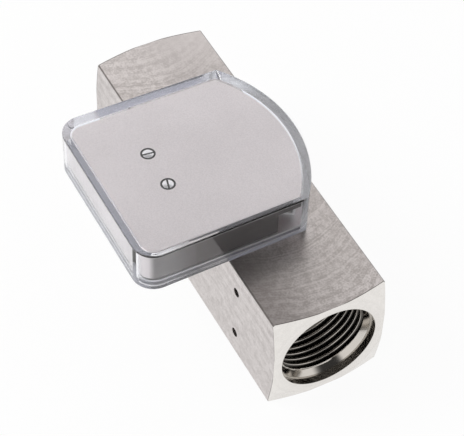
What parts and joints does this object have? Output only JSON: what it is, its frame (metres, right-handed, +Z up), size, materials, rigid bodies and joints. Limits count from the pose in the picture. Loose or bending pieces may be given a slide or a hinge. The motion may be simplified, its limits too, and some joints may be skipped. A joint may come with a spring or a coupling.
{
  "type": "variable area flow meter",
  "caption": "Square bar flow meter body with a pipe-threaded port in each end and a clear D-shaped display box that overhangs one side.",
  "frame": {"origin": "centre of the body's underside", "axes": "+X along the bore towards the inlet port, -Y towards the overhanging display, +Z up through the display"},
  "size_m": [0.1314, 0.0705, 0.056],
  "materials": {
    "body_steel": "fine machined stainless steel",
    "turned_steel": "turned stainless steel",
    "spring_steel": "drawn spring steel",
    "screw_steel": "bright screw steel",
    "seal_rubber": "black sealing rubber",
    "plate_aluminium": "bead-blasted aluminium",
    "hood_sheet": "satin sheet",
    "clear_plastic": "clear moulded plastic",
    "hub_brass": "turned brass",
    "magnet_nickel": "nickel-plated magnet",
    "bush_plastic": "white sliding plastic",
    "scale_white": "white enamelled strip",
    "pointer_red": "red painted strip"
  },
  "bodies": {
    "meter": {"body": "body_steel", "metering_sleeve": "turned_steel", "sleeve_seal": "seal_rubber", "inlet_spider": "turned_steel", "outlet_spider": "turned_steel", "inlet_circlip": "spring_steel", "outlet_circlip": "spring_steel", "guide_rod": "turned_steel", "return_spring": "spring_steel", "base_plate": "plate_aluminium", "cover_seal": "seal_rubber", "base_screws": "screw_steel", "clear_cover": "clear_plastic", "mechanism_hood": "hood_sheet", "hood_pillars": "hub_brass", "hood_screws": "screw_steel", "pivot_post": "turned_steel", "pivot_clip": "spring_steel", "scale_strip": "scale_white", "scale_screws": "screw_steel"},
    "float": {"float_body": "turned_steel", "float_magnet": "magnet_nickel", "float_cap": "turned_steel", "float_bushes": "bush_plastic"},
    "pointer": {"pointer_hub": "hub_brass", "hub_bush": "bush_plastic", "magnet_arm": "plate_aluminium", "counterweight": "hub_brass", "follower_magnet": "magnet_nickel", "pointer": "pointer_red"}
  },
  "joints": [
    {"name": "float_slide", "type": "slide", "parent": "meter", "child": "float", "axis": [-1, 0, 0], "range_m": [0, 0.034], "stiffness_N_per_m": 40, "springref_m": -0.012, "deforming": ["return_spring"]},
    {"name": "pointer_swing", "type": "hinge", "parent": "meter", "child": "pointer", "pos_m": [0.0025, -0.0307, 0.045], "axis": [0, 0, 1], "range_deg": [0, 58]}
  ],
  "couplings": [
    {"joint": "pointer_swing", "follows": "float_slide", "rad_per_m": 29.748}
  ]
}
